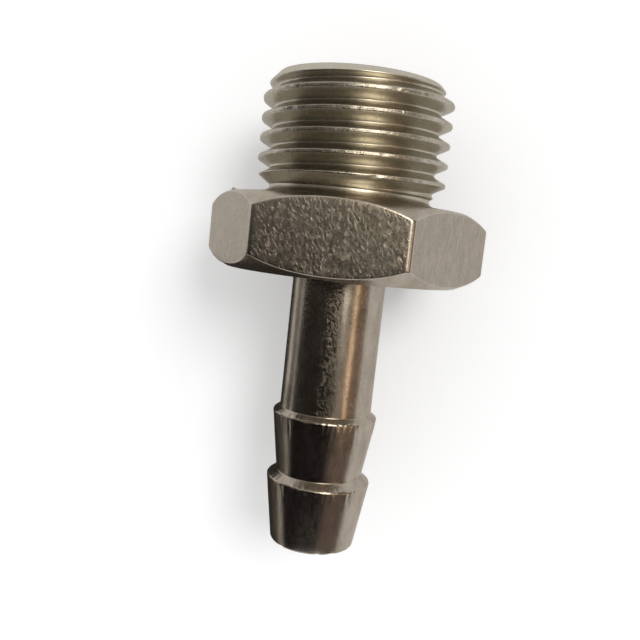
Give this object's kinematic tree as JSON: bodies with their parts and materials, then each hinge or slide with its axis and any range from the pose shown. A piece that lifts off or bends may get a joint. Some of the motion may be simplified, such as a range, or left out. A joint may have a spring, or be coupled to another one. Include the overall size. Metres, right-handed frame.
{
  "type": "hose barb tail",
  "caption": "Nickel-plated brass hose barb tail with a male pipe thread, a hexagon for a spanner and a barbed stem, bored through.",
  "frame": {"origin": "on the axis, midway along the hexagon's corner edges", "axes": "+Y along the axis towards the thread, +Z square to the flat opposite the one it lies on"},
  "size_m": [0.0196, 0.0329, 0.017],
  "materials": {
    "nickel_plated_brass": "polished"
  },
  "bodies": {
    "root": {"hose_barb_tail": "nickel_plated_brass"}
  },
  "joints": []
}
